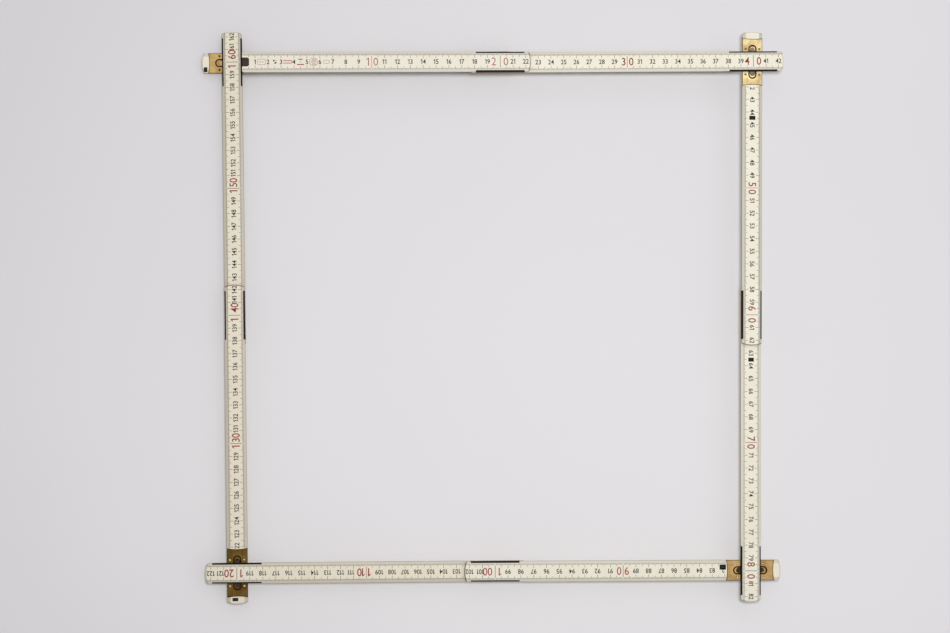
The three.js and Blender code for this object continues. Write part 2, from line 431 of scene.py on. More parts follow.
def new_material(name, **settings):
    material = bpy.data.materials.new(name)
    material.use_nodes = True
    tree = material.node_tree
    shader = tree.nodes["Principled BSDF"]
    for key, value in settings.items():
        shader.inputs[key.replace("_", " ")].default_value = value
    coordinates = tree.nodes.new("ShaderNodeTexCoord").outputs["Object"]
    return material, tree, shader, coordinates


def bump(tree, shader, height, depth, strength):
    made = node(tree, "Bump", Strength=strength, Distance=depth)
    tree.links.new(height, made.inputs["Height"])
    tree.links.new(made.outputs[0], shader.inputs["Normal"])


# How dark a tip's edge is made, partly wear and partly painted shade, and how much darker the slopes beside
# the strip are, as a rule.
tip_wear_and_shade = 0.3
slope_darkening = 0.55


def ivory_paint(name, fading, slope_darkness, far_tip_wear_and_shade):
    def tone(*colour):
        return (*[part * faded for part, faded in zip(colour, fading)], 1)

    material, tree, shader, where = new_material(name, Roughness=0.5, Specular_IOR_Level=0.4)
    axes = tree.nodes.new("ShaderNodeSeparateXYZ")
    tree.links.new(where, axes.inputs[0])
    off_middle = maths(tree, "ABSOLUTE", axes.outputs["Y"])
    off_level = maths(tree, "ABSOLUTE", axes.outputs["Z"])
    grain = noise(tree, where, (1, 22, 22), 60, 6)
    cloud = noise(tree, where, (1, 1, 1), 45, 4)
    speck = noise(tree, where, (1, 1, 1), 1400, 2)
    paint = mix(tree, between(tree, cloud, 0.3, 0.7), tone(0.80, 0.755, 0.61), tone(0.84, 0.80, 0.67))
    darker_grain = maths(tree, "MULTIPLY", between(tree, grain, 0.5, 0.8), 0.22)
    paint = mix(tree, darker_grain, paint, tone(0.72, 0.66, 0.5))
    specks = maths(tree, "MULTIPLY", between(tree, speck, 0.62, 0.75), 0.18)
    paint = mix(tree, specks, paint, tone(0.62, 0.58, 0.47))
    # The slopes beside the strip are made darker, by a share set for each limb.
    slope = maths(tree, "MULTIPLY", between(tree, off_middle, 5.0 * mm, 5.5 * mm), slope_darkness)
    paint = mix(tree, slope, paint, tone(0.52, 0.49, 0.41))
    from_middle = maths(tree, "ABSOLUTE", maths(tree, "SUBTRACT", axes.outputs["X"], pitch / 2))
    arc_middle = pitch / 2 + end_reach - end_arc_radius
    past_arc_middle = maths(tree, "MAXIMUM", maths(tree, "SUBTRACT", from_middle, arc_middle), 0)
    to_end = distance(tree, past_arc_middle, axes.outputs["Y"])
    # Painted shadow and wear: a dark band just inside each round tip's edge, heaviest at the far tips of
    # four limbs.
    worn_and_shaded_tip = between(tree, to_end, end_arc_radius - 1.0 * mm, end_arc_radius - 0.55 * mm)
    far_half = between(tree, axes.outputs["X"], 0.25 * pitch, 0.75 * pitch)
    tip_darkening = maths(tree, "ADD", maths(tree, "MULTIPLY", far_half, far_tip_wear_and_shade - tip_wear_and_shade), tip_wear_and_shade)
    paint = mix(tree, maths(tree, "MULTIPLY", worn_and_shaded_tip, tip_darkening), paint, tone(0.18, 0.09, 0.055))
    # Painted shade with grime: the slat's sides, below the edges of its faces, are darkened to stand for
    # the shade beside each limb.
    low_down = between(tree, off_level, 1.0 * mm, 0.86 * mm)
    side_shade_and_grime = maths(tree, "ADD", low_down, maths(tree, "MULTIPLY", cloud, 0.5))
    side = maths(tree, "MULTIPLY", between(tree, side_shade_and_grime, 0.9, 1.15), 0.85)
    paint = mix(tree, side, paint, tone(0.27, 0.235, 0.175))
    tree.links.new(paint, shader.inputs["Base Color"])
    rough = maths(tree, "ADD", maths(tree, "MULTIPLY", cloud, 0.25), 0.38)
    tree.links.new(rough, shader.inputs["Roughness"])
    surface = maths(tree, "ADD", grain, maths(tree, "MULTIPLY", speck, 0.35))
    bump(tree, shader, surface, 0.05 * mm, 0.6)
    return material


# The slats have yellowed unevenly: red, green and blue by limb. Some have darker slopes, and four have a
# dark edge at the far tip, partly wear and partly painted shadow where the tip lies over the next limb.
paint_fadings = {
    1: (0.97, 0.965, 0.985),
    6: (0.97, 0.945, 0.92),
    7: (0.96, 0.925, 0.9),
    8: (0.95, 0.93, 0.905),
}
slope_darkenings = {3: 0.9, 6: 0.65, 7: 0.8, 8: 0.85}
far_tip_wears_and_shades = {1: 0.75, 3: 0.75, 5: 0.9, 7: 0.9}
for n in limbs:
    fading = paint_fadings.get(n, (1, 1, 1))
    slope_darkness = slope_darkenings.get(n, slope_darkening)
    far_tip_wear_and_shade = far_tip_wears_and_shades.get(n, tip_wear_and_shade)
    painted_wood = ivory_paint(f"ivory_paint_{n}", fading, slope_darkness, far_tip_wear_and_shade)
    slat = set_on_limb(f"painted_slat_{n}", slat_mesh(n), n, painted_wood)
    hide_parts(f"slat_{n}")


# ---- The lower hinge plates --------------------------------------------------------------
# Brass-plated sheet pressed into a channel over the start of each limb, with an oblong
# window, its ends cut hollow, and four punch marks where its claws bite into the wood.
sheet = 0.5 * mm
plate_top = 1.55 * mm
plate_half_length = 19 * mm
flange_foot = -1.05 * mm
# The flanges' outside and inside, how far their feet lean in, and the bend's radius.
lower_flange = (7.95 * mm, 7.25 * mm, 0, 0.55 * mm)
window_half_length = 13.4 * mm
window_half_width = 3.1 * mm
punch_along = 10.15 * mm
punch_across = 5.5 * mm


def channel(flange_outside, flange_inside, lean, bend_radius):
    outside = [(flange_outside - lean, flange_foot)]
    outside += arc((flange_outside - bend_radius, plate_top - bend_radius), bend_radius, 0, 90, 6)
    outside += [(-y, z) for y, z in reversed(outside)]
    inside = [(-flange_inside, flange_foot), (-flange_inside, plate_top - sheet)]
    inside += [(-y, z) for y, z in reversed(inside)]
    return stacked([(outside + inside, -20 * mm), (outside + inside, 20 * mm)], "x")


def hollow_ended(flange_outside):
    steps = 12
    end = []
    for i in range(steps + 1):
        y = flange_outside * 1.02 * (2 * i / steps - 1)
        end.append((plate_half_length - seat_curve * (1 - (y / flange_outside) ** 2), y))
    return end + [(-x, -y) for x, y in end]


def bare_plate(flange):
    return carve(channel(*flange), [raised(hollow_ended(flange[0]), -3 * mm, 3 * mm)], "INTERSECT")


def window_cutter(half_length, half, top):
    flare = []
    for out, drop in ((0.1, 1.0), (0.1, 0.3), (0.08, 0.17), (0.02, 0.06), (-0.1, 0), (-0.25, -0.2)):
        flare.append((oblong(half_length - out * mm, half - out * mm), top - drop * mm))
    return stacked(flare)


def punch(x, y, top):
    rings = []
    for radius, drop in ((0.1, 0.4), (0.34, 0.37), (0.55, 0.27), (0.7, 0.12), (0.78, 0), (0.85, -0.15)):
        rings.append((arc((x, y), radius * mm, 0, 345, 23), top - drop * mm))
    return stacked(rings)


punch_places = [(x, y) for x in (-punch_along, punch_along) for y in (-punch_across, punch_across)]


def lower_plate_mesh():
    tools = [window_cutter(window_half_length, window_half_width, plate_top)]
    tools += [punch(x, y, plate_top) for x, y in punch_places]
    return finished_mesh(carve(bare_plate(lower_flange), tools), "lower_plate", 28)


black_brown = (0.03, 0.015, 0.005, 1)


# Painted shade and dirt in the groove between the window's edge and the raised middle of the leaf.
def groove_dirt(tree, along, across):
    straight = window_half_length - window_half_width
    to_window = distance(tree, maths(tree, "MAXIMUM", maths(tree, "SUBTRACT", along, straight), 0), across)
    outer = between(tree, to_window, 3.4 * mm, 3.15 * mm)
    return maths(tree, "MULTIPLY", outer, between(tree, to_window, 2.2 * mm, 2.4 * mm))


# How far along and across a point is from the rivet, and its height.
def off_centre(tree, where):
    axes = tree.nodes.new("ShaderNodeSeparateXYZ")
    tree.links.new(where, axes.inputs[0])
    along, across = [maths(tree, "ABSOLUTE", axes.outputs[axis]) for axis in "XY"]
    return along, across, axes.outputs["Z"]


# Where a pressed plate is darkened: its bends by painted shade; its hollow ends, the groove inside its
# window and its punch marks by painted shade and dirt; and the punch marks' bottoms have a painted tone and
# a size of their own, a highlight on some limbs and shade on the rest.
def plate_dirt(tree, where, pit_light_tone, pit_radius):
    along, across, height = off_centre(tree, where)
    # Painted shade on the plate's bends, below its flat top.
    under_top = between(tree, height, 1.53 * mm, 1.4 * mm)
    bend_shade = maths(tree, "MULTIPLY", under_top, between(tree, height, 0.7 * mm, 1.1 * mm))
    across_squared = maths(tree, "MULTIPLY", across, across)
    hollow = maths(tree, "MULTIPLY", across_squared, seat_curve / lower_flange[0] ** 2)
    # Painted shadow and dirt along the plate's hollow ends.
    end = plate_half_length - seat_curve
    rim = between(tree, maths(tree, "SUBTRACT", along, hollow), end - 0.8 * mm, end - 0.4 * mm)
    past_punch = maths(tree, "SUBTRACT", along, punch_along)
    beside_punch = maths(tree, "SUBTRACT", across, punch_across)
    to_punch = distance(tree, past_punch, beside_punch)
    # Painted shade and dirt in a ring inside each punch mark.
    pit_shade = maths(tree, "MULTIPLY", between(tree, to_punch, 1.0 * mm, 0.75 * mm), 0.9)
    shares = (bend_shade, maths(tree, "MULTIPLY", rim, 0.65), groove_dirt(tree, along, across), pit_shade)
    # Painted light at the bottom of each punch mark: a highlight on some limbs, shade on the rest.
    bottom = between(tree, to_punch, pit_radius + 0.1 * mm, pit_radius - 0.1 * mm)
    return [*[(share, black_brown) for share in shares], (bottom, (*pit_light_tone, 1))]


# Painted shade and dirt in the groove around the leaf's raised middle.
def leaf_dirt(tree, where):
    along, across = off_centre(tree, where)[:2]
    return [(groove_dirt(tree, along, across), black_brown)]


def worn_brass(name, dull, bright, stain, dirt_and_shade=None, *pit_light):
    material, tree, shader, where = new_material(name, Metallic=1.0)
    cloud = noise(tree, where, (1, 1, 1), 130, 5)
    smear = noise(tree, where, (1, 9, 1), 70, 4)
    speck = noise(tree, where, (1, 1, 1), 1800, 3)
    scratch = noise(tree, where, (30, 1.5, 1), 420, 2)
    colour = mix(tree, between(tree, cloud, 0.35, 0.7), (*dull, 1), (*bright, 1))
    colour = mix(tree, maths(tree, "MULTIPLY", between(tree, smear, 0.5, 0.75), 0.5), colour, (*stain, 1))
    colour = mix(tree, maths(tree, "MULTIPLY", between(tree, speck, 0.6, 0.72), 0.4), colour, (*stain, 1))
    if dirt_and_shade is not None:
        for share, tone in dirt_and_shade(tree, where, *pit_light):
            colour = mix(tree, share, colour, tone)
    tree.links.new(colour, shader.inputs["Base Color"])
    rough = maths(tree, "ADD", maths(tree, "MULTIPLY", cloud, 0.3), 0.24)
    tree.links.new(rough, shader.inputs["Roughness"])
    height = maths(tree, "ADD", maths(tree, "MULTIPLY", cloud, 1.6), maths(tree, "MULTIPLY", scratch, 0.25))
    bump(tree, shader, height, 0.12 * mm, 0.5)
    return material


# How each limb's brass is toned, with its punch marks: the third's is painted bright for the light it
# reflects, the seventh's near black, partly tarnish and partly painted shade for the dark it reflects; the
# rest have the usual tone.
usual_brass = ((0.40, 0.265, 0.10), (0.53, 0.37, 0.155), (0.27, 0.165, 0.055))
# The usual punch mark bottoms are painted dark as shade, with their size.
usual_pit_light = ((0.10, 0.06, 0.025), 0.4 * mm)
brass_tones_and_painted_light = {
    3: ((0.56, 0.41, 0.19), (0.82, 0.67, 0.365), (0.47, 0.32, 0.13)),
    5: ((0.41, 0.26, 0.10), (0.52, 0.35, 0.145), (0.32, 0.165, 0.075)),
    7: ((0.10, 0.058, 0.014), (0.15, 0.092, 0.024), (0.05, 0.028, 0.01)),
}
# Painted highlights in the punch marks of the fifth and seventh limbs; the third's bottoms are painted
# mid-tone.
punch_pit_light = {
    3: ((0.45, 0.33, 0.15), 0.35 * mm),
    5: ((0.95, 0.70, 0.55), 0.6 * mm),
    7: ((0.85, 0.72, 0.45), 0.7 * mm),
}
lower_plate = lower_plate_mesh()
for n in limbs[1:]:
    pit_light = punch_pit_light.get(n, usual_pit_light)
    plated = worn_brass(f"plate_brass_{n}", *brass_tones_and_painted_light.get(n, usual_brass), plate_dirt, *pit_light)
    plate = set_on_limb(f"brass_plate_{n - 1}", lower_plate.copy(), n, plated)
    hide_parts(f"lower_plate_{n - 1}")


# ---- The leaf springs --------------------------------------------------------------------
# A tempered steel leaf under each window, pulled up by the rivet. Two brass crescents stand
# in the window's round ends, past the leaf's dark dished middle.
leaf_top = 1.0 * mm
leaf_under = 0.6 * mm
leaf_half_length = 15 * mm
leaf_half_width = 3.8 * mm
rivet_hole = 1.62 * mm
rim_half_length = 12.4 * mm
rim_half_width = 2.3 * mm
dish_half_length = 11.25 * mm
dish_half_width = 2.35 * mm
rim_top = 1.42 * mm


def leaf_mesh():
    leaf = raised(oblong(leaf_half_length, leaf_half_width), leaf_under, leaf_top, 0.08 * mm)
    return finished_mesh(carve(leaf, [round_tool(0, rivet_hole, 0, 3 * mm)]), "leaf", 30)


def rim_mesh():
    rim = raised(oblong(rim_half_length, rim_half_width), leaf_top - 0.02 * mm, rim_top, 0.1 * mm)
    dish = []
    for out, height in ((0.5, 0.9), (0.5, 1.1), (0.2, 1.25), (0, rim_top / mm), (-0.05, 1.6)):
        dish.append((oblong(dish_half_length - out * mm, dish_half_width - out * mm), height * mm))
    return finished_mesh(carve(rim, [stacked(dish)]), "leaf_rim", 30)


def dark_steel(name, light, dark, roughness, metallic=1.0, rust=(0.10, 0.06, 0.04), gloss=0.5, dirt_and_shade=None):
    material, tree, shader, where = new_material(name, Metallic=metallic, Specular_IOR_Level=gloss)
    cloud = noise(tree, where, (1, 1, 1), 220, 5)
    brushed = noise(tree, where, (1, 40, 1), 200, 3)
    speck = noise(tree, where, (1, 1, 1), 2400, 2)
    colour = mix(tree, between(tree, cloud, 0.35, 0.65), (*dark, 1), (*light, 1))
    colour = mix(tree, maths(tree, "MULTIPLY", between(tree, speck, 0.6, 0.7), 0.35), colour, (*rust, 1))
    if dirt_and_shade is not None:
        for share, tone in dirt_and_shade(tree, where):
            colour = mix(tree, share, colour, tone)
    tree.links.new(colour, shader.inputs["Base Color"])
    rough = maths(tree, "ADD", maths(tree, "MULTIPLY", cloud, 0.25), roughness)
    tree.links.new(rough, shader.inputs["Roughness"])
    bump(tree, shader, maths(tree, "ADD", cloud, brushed), 0.05 * mm, 0.5)
    return material


# The leaf of the ninth limb is brass-plated like its crescents, and the third's is paler.
blued, paler_tones = ((0.07, 0.045, 0.035), (0.025, 0.014, 0.01)), ((0.30, 0.22, 0.18), (0.13, 0.09, 0.07))
spring_steel = dark_steel("spring_steel", *blued, 0.4, dirt_and_shade=leaf_dirt)
pale_steel = dark_steel("pale_steel", *paler_tones, 0.4, dirt_and_shade=leaf_dirt)
plated_leaf, pale_leaf = 9, 3
leaf, leaf_rim = leaf_mesh(), rim_mesh()
for n in limbs[1:]:
    # The crescents take their limb's brass tone, painted light included.
    crescent_brass = worn_brass(f"crescent_brass_{n}", *brass_tones_and_painted_light.get(n, usual_brass))
    metal = spring_steel
    if n == pale_leaf:
        metal = pale_steel
    elif n == plated_leaf:
        metal = worn_brass("leaf_brass", *usual_brass, leaf_dirt)
    spring = set_on_limb(f"spring_leaf_{n - 1}", leaf.copy(), n, metal)
    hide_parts(f"leaf_spring_{n - 1}")
    set_on_limb(f"spring_rim_{n - 1}", leaf_rim.copy(), n, crescent_brass)


# ---- The upper hinge plates --------------------------------------------------------------
# The same channel turned over, under the end of each limb: blackened steel, painted near black so that it
# also stands for the shade between the limbs. It turns on the rivet through a round hole, and two pressed
# ridges on it drop into the window below.
ridge_start, ridge_end = 8.2 * mm, 12.4 * mm
ridge_half_width = 0.9 * mm
upper_flange = (7.85 * mm, 6.8 * mm, 0.15 * mm, 0.25 * mm)
over = Matrix.Translation((pitch, 0, 0)) @ Matrix.Rotation(math.pi, 4, "X")


def ridge(first, last):
    levels = [(0, -0.3), (0, 0.02), (0.12, 0.1), (0.35, 0.17), (0.6, 0.2)]
    middle, half = (first + last) / 2, (last - first) / 2
    rings = []
    for out, height in levels:
        outline = oblong(half - out * mm, ridge_half_width - out * mm, 8)
        rings.append(([(x + middle, y) for x, y in outline], plate_top + height * mm))
    return stacked(rings)


def upper_plate_mesh():
    ridges = [ridge(ridge_start, ridge_end), ridge(-ridge_end, -ridge_start)]
    ridged = carve(bare_plate(upper_flange), ridges, "UNION")
    tools = [round_tool(0, rivet_hole, 0, 3 * mm)] + [punch(x, y, plate_top) for x, y in punch_places]
    return finished_mesh(carve(ridged, tools), "upper_plate", 28)


# Painted shade: the turned-over plate is dark steel made near black, to stand for the shade in the gap as
# well.
blackened_and_shaded = ((0.012, 0.008, 0.006), (0.006, 0.004, 0.003))
dark_plate = dark_steel("blackened_and_shaded_plate", *blackened_and_shaded, 0.6, 0.0, (0.02, 0.012, 0.008), 0.15)
upper_plate = upper_plate_mesh()
for n in limbs[:-1]:
    plate = set_on_limb(f"dark_plate_{n}", upper_plate.copy(), n, dark_plate, over)
    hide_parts(f"upper_plate_{n}")


# ---- The rivets --------------------------------------------------------------------------
# Turned steel rivets, one in each hinge, closed under the leaf spring of the lower limb and
# over the plate inside the end of the limb above.
foot_top = leaf_under - 0.05 * mm
level_step = limb_place(first_limb).translation.z - limb_place(first_limb + 1).translation.z
head_under = level_step - (plate_top - sheet) + 0.05 * mm


# Turned profiles of the foot and the head: radius, and height from the face that clamps, in mm.
def rivet_mesh():
    foot = [(0.1, -0.5), (2.3, -0.5), (2.52, -0.42), (2.6, -0.3), (2.6, -0.05)]
    foot += [(2.5, 0), (1.55, 0), (1.5, 0.05)]
    head = [(1.5, -0.05), (1.55, 0), (2.5, 0), (2.6, 0.05)]
    head += [(2.58, 0.2), (2.4, 0.4), (1.9, 0.48), (0.1, 0.5)]
    rings = []
    for profile, level in ((foot, foot_top), (head, head_under)):
        for radius, rise in profile:
            rings.append((arc((0, 0), radius * mm, 0, 352.5, 47), level + rise * mm))
    return finished_mesh(stacked(rings), "rivet", 35)


rivet_steel = dark_steel("rivet_steel", (0.52, 0.48, 0.43), (0.36, 0.32, 0.28), 0.25)
rivet = rivet_mesh()
for n in limbs[1:]:
    turned = set_on_limb(f"turned_rivet_{n - 1}", rivet.copy(), n, rivet_steel)
    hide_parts(f"rivet_{n - 1}")


# ---- The end caps ------------------------------------------------------------------------
# A strip of bronzed sheet folded over each square end of the rule and let into the wood,
# its two tongues drawn in towards their tips.

def cap_mesh():
    radius = 0.45 * mm
    outside = [(cap_tongue, half_thickness)]
    outside += arc((radius, half_thickness - radius), radius, 90, 180, 6)
    outside += [(x, -z) for x, z in reversed(outside)]
    inner = half_thickness - cap_sheet
    inside = [(cap_tongue, -inner), (cap_sheet, -inner), (cap_sheet, inner), (cap_tongue, inner)]
    shape = bmesh.new()
    sides = []
    for y in (-4 * mm, 4 * mm):
        sides.append([(x, y, z) for x, z in outside + inside])
    closed_loft(shape, sides)
    return finished_mesh(carve(shape, [raised(cap_plan(), -3 * mm, 3 * mm)], "INTERSECT"), "end_cap", 30)


bronze_tones = ((0.045, 0.024, 0.018), (0.025, 0.013, 0.010))
bronzed = dark_steel("bronzed_sheet", *bronze_tones, 0.5, 0.0, gloss=0.3)
cap = cap_mesh()
zero_cap = set_on_limb("bronzed_cap_zero", cap.copy(), first_limb, bronzed)
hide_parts("zero_end_cap")
turned_round = Matrix.Translation((pitch, 0, 0)) @ Matrix.Rotation(math.pi, 4, "Z")
far_cap = set_on_limb("bronzed_cap_far", cap.copy(), last_limb, bronzed, turned_round)
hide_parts("far_end_cap")


# ---- The ticks ---------------------------------------------------------------------------
# Black ink, rolled on over the paint of both faces. Every millimetre has a stroke over the
# strip's edge; fives and centimetres run further in, and tens go right across the strip,
# three of them with a red line that is printed with the tens.
ink_proud = 0.012 * mm
ink_sunk = 0.03 * mm
tick_width = 0.28 * mm
tick_outside = 0.9 * mm
five_reach = 1.3 * mm
centimetre_reach = 2.3 * mm
ten_width = 0.36 * mm
ten_half_length = 4.8 * mm
red_lined = (10, 50, 110)


# One stroke across the slat from y = first to y = last, following the face's fold.
def stroke(shape, x, width, first, last):
    folds = [y for y in (half_strip, -half_strip) if min(first, last) < y < max(first, last)]
    points = [first, *sorted(folds, reverse=first > last), last]
    rings = []
    for y in points:
        high, low = face_height(y) + ink_proud, face_height(y) - ink_sunk
        left, right = x - width / 2, x + width / 2
        rings.append([(left, y, low), (right, y, low), (right, y, high), (left, y, high)])
    closed_loft(shape, rings)


def printed_range(n, face):
    """The millimetres of a limb's face that the scale covers: its plate's end has none."""
    if face == "top":
        return (20 if n > first_limb else 1), (223 if n < last_limb else 199)
    return (-22 if n > first_limb else 1), (180 if n < last_limb else 199)


def tick_mesh(n):
    shape = bmesh.new()
    for face in ("top", "under"):
        first, last = printed_range(n, face)
        faced = bmesh.new()
        for millimetre in range(first, last + 1):
            x = millimetre * mm
            edge = half_strip + tick_outside
            if millimetre % 10 == 0:
                inner = half_strip - centimetre_reach
            elif millimetre % 5 == 0:
                inner = half_strip - five_reach
            else:
                inner = half_strip - 0.15 * mm
            if millimetre % 100 == 0:
                if millimetre / 10 + 20 * (n - 1) not in red_lined:
                    stroke(faced, x, ten_width, ten_half_length, -ten_half_length)
                continue
            stroke(faced, x, tick_width, edge, inner)
            stroke(faced, x, tick_width, -edge, -inner)
        join_face(shape, faced, face)
    return finished_mesh(shape, f"ticks_{n}", 30)


def join_face(shape, faced, face):
    if face == "under":
        bmesh.ops.rotate(faced, verts=faced.verts, cent=(0, 0, 0), matrix=Matrix.Rotation(math.pi, 3, "X"))
    joined = bpy.data.meshes.new("joined")
    faced.to_mesh(joined)
    faced.free()
    shape.from_mesh(joined)
    bpy.data.meshes.remove(joined)


def printing_ink(name, colour, worn):
    material, tree, shader, where = new_material(name, Roughness=0.6, Specular_IOR_Level=0.15)
    patchy = noise(tree, where, (1, 1, 1), 900, 3)
    faded = maths(tree, "MULTIPLY", between(tree, patchy, 0.52, 0.72), 0.6)
    tree.links.new(mix(tree, faded, (*colour, 1), (*worn, 1)), shader.inputs["Base Color"])
    bump(tree, shader, patchy, 0.01 * mm, 0.4)
    return material


black_ink = printing_ink("black_ink", (0.008, 0.008, 0.007), (0.09, 0.085, 0.07))
for n in limbs:
    set_on_limb(f"ticks_{n}", tick_mesh(n), n, black_ink)


# ---- The numbers -------------------------------------------------------------------------
# Every centimetre is numbered in black between its ticks, reading along the limb.
digit_height = 3.7 * mm
digit_width = 2.15 * mm
digit_advance = 2.35 * mm
narrow_advance = 1.8 * mm
# After a ten of three figures the next number stands further on, clear of the red.
usual_clearance = 2.0 * mm
clearances = {101: 1.6 * mm, 111: 1.9 * mm, 121: 2.6 * mm, 131: 1.5 * mm, 141: 2.3 * mm, 161: 1.9 * mm}


# A one with its flag, as an outline one unit high.
def one_outline(stroke_width):
    right, left = 0.06 + stroke_width / 2, 0.06 - stroke_width / 2
    slant = 0.9 * stroke_width
    flag = [(-0.22, 0.3), (-0.22, 0.3 - slant), (left, 0.46 - slant)]
    return [(right, -0.5), (right, 0.5), (left, 0.5), *flag, (left, -0.5)]


# Each figure's corners, one unit high and one deep, and its faces.
def digit_outlines(boldness):
    outlines = {}
    for character in "0123456789":
        text = bpy.data.curves.new("digit", "FONT")
        text.body = character
        text.offset = boldness
        text.extrude = 0.5
        text.resolution_u = 5
        letter = bpy.data.objects.new("digit", text)
        bpy.context.scene.collection.objects.link(letter)
        bpy.context.view_layer.update()
        mesh = bpy.data.meshes.new_from_object(letter.evaluated_get(bpy.context.evaluated_depsgraph_get()))
        bpy.data.objects.remove(letter)
        bpy.data.curves.remove(text)
        corners = [vertex.co.copy() for vertex in mesh.vertices]
        low = Vector([min(corner[i] for corner in corners) for i in range(3)])
        high = Vector([max(corner[i] for corner in corners) for i in range(3)])
        middle, size = (low + high) / 2, high - low
        places = []
        for x, y, z in corners:
            places.append(Vector(((x - middle.x) / size.y, (y - middle.y) / size.y, (z - low.z) / size.z)))
        outlines[character] = (places, [tuple(face.vertices) for face in mesh.polygons])
        bpy.data.meshes.remove(mesh)
    flat = one_outline(0.13 + 2 * boldness)
    count = len(flat)
    walls = [(i, (i + 1) % count, (i + 1) % count + count, i + count) for i in range(count)]
    ends = [tuple(reversed(range(count))), tuple(range(count, 2 * count))]
    outlines["1"] = ([Vector((x, y, z)) for z in (0, 1) for x, y in flat], walls + ends)
    return outlines


def print_digit(shape, outlines, character, x, y, height, width):
    places, faces = outlines[character]
    widest = max(place.x for place in outlines["0"][0]) * 2
    low, high = half_thickness - ink_sunk, half_thickness + ink_proud
    made = []
    stretch = height if character == "1" else width / widest
    for place in places:
        a = x + place.x * stretch
        made.append(shape.verts.new((a, y + place.y * height, low + (high - low) * place.z)))
    for face in faces:
        shape.faces.new([made[i] for i in face])


regular = digit_outlines(0.014)


def spaced_digits(number):
    characters = str(number)
    advances = [narrow_advance if character == "1" else digit_advance for character in characters]
    along = -sum(advances) / 2
    placed = []
    for character, advance in zip(characters, advances):
        placed.append((character, along + advance / 2))
        along += advance
    return placed


def number_mesh(n):
    shape = bmesh.new()
    for face in ("top", "under"):
        first, last = printed_range(n, face)
        faced = bmesh.new()
        for centimetre in range(math.ceil(first / 10), last // 10 + 1):
            number = centimetre + 20 * (n - 1)
            if number % 10 == 0 or number <= 0:
                continue
            after_ten = number > 100 and number % 10 == 1
            clear_of_ten = clearances.get(number, usual_clearance) if after_ten else 0
            for character, along in spaced_digits(number):
                x = centimetre * 10 * mm + along + clear_of_ten
                if (first - 0.9) * mm < x and x + digit_width / 2 < (last + 1) * mm:
                    print_digit(faced, regular, character, x, 0, digit_height, digit_width)
        join_face(shape, faced, face)
    return finished_mesh(shape, f"numbers_{n}", 30)


for n in limbs:
    set_on_limb(f"numbers_{n}", number_mesh(n), n, black_ink)


# ---- The tens ----------------------------------------------------------------------------
# The tens are printed large in red, parted by the line that marks them.
ten_height = 6.1 * mm
ten_digit_width = 3.5 * mm
red_ink = printing_ink("red_ink", (0.28, 0.033, 0.03), (0.44, 0.18, 0.145))
pale_red_ink = printing_ink("pale_red_ink", (0.38, 0.08, 0.075), (0.55, 0.3, 0.26))
thin_tens, bold_tens = digit_outlines(-0.006), digit_outlines(0.008)
pale_red_limbs = (1, 5)


# Each figure's place along the limb from its ten's line, in mm: wider apart over a rivet.
def ten_digit_places(number, on_rivet):
    if number < 100:
        return (-5.0, 4.4) if on_rivet else (-2.8, 3.2)
    if number == 110:
        return (-2.1, 2.6, 5.4)
    return (-3.5, 4.1, 7.9) if on_rivet else (-2.3, 2.7, 6.3)


def ten_mesh(n):
    outlines = thin_tens if n == first_limb else bold_tens
    shape = bmesh.new()
    for face in ("top", "under"):
        first, last = printed_range(n, face)
        faced = bmesh.new()
        for centimetre in (0, 10, 20):
            number = centimetre + 20 * (n - 1)
            if number == 0 or not first <= centimetre * 10 <= last:
                continue
            if number in red_lined:
                stroke(faced, centimetre * 10 * mm, ten_width, ten_half_length, -ten_half_length)
            for character, along in zip(str(number), ten_digit_places(number, centimetre != 10)):
                x = (centimetre * 10 + along) * mm
                print_digit(faced, outlines, character, x, 0, ten_height, ten_digit_width)
        join_face(shape, faced, face)
    return finished_mesh(shape, f"tens_{n}", 30)


for n in limbs:
    ink = pale_red_ink if n in pale_red_limbs else red_ink
    set_on_limb(f"tens_{n}", ten_mesh(n), n, ink)


# ---- The printed marks -------------------------------------------------------------------
# Plain marks between the first numbers, in thin red line, and black blocks that the printing
# roller leaves beside some joints. They hold no letters.
line_width = 0.28 * mm


# A thin slab of ink with the given outline, lying on the strip.
def ink_patch(shape, outline):
    rings = []
    for z in (half_thickness - ink_sunk, half_thickness + ink_proud):
        rings.append([(x, y, z) for x, y in outline])
    closed_loft(shape, rings)


# A closed line of ink along the inside of the given outline.
def ink_ring(shape, outline, width):
    rings = []
    for shrink, z in ((0, -ink_sunk), (0, ink_proud), (width, ink_proud), (width, -ink_sunk)):
        rings.append([shape.verts.new((x, y, half_thickness + z)) for x, y in inset(outline, shrink)])
    for ring, following in zip(rings, rings[1:] + rings[:1]):
        bridge(shape, ring, following)


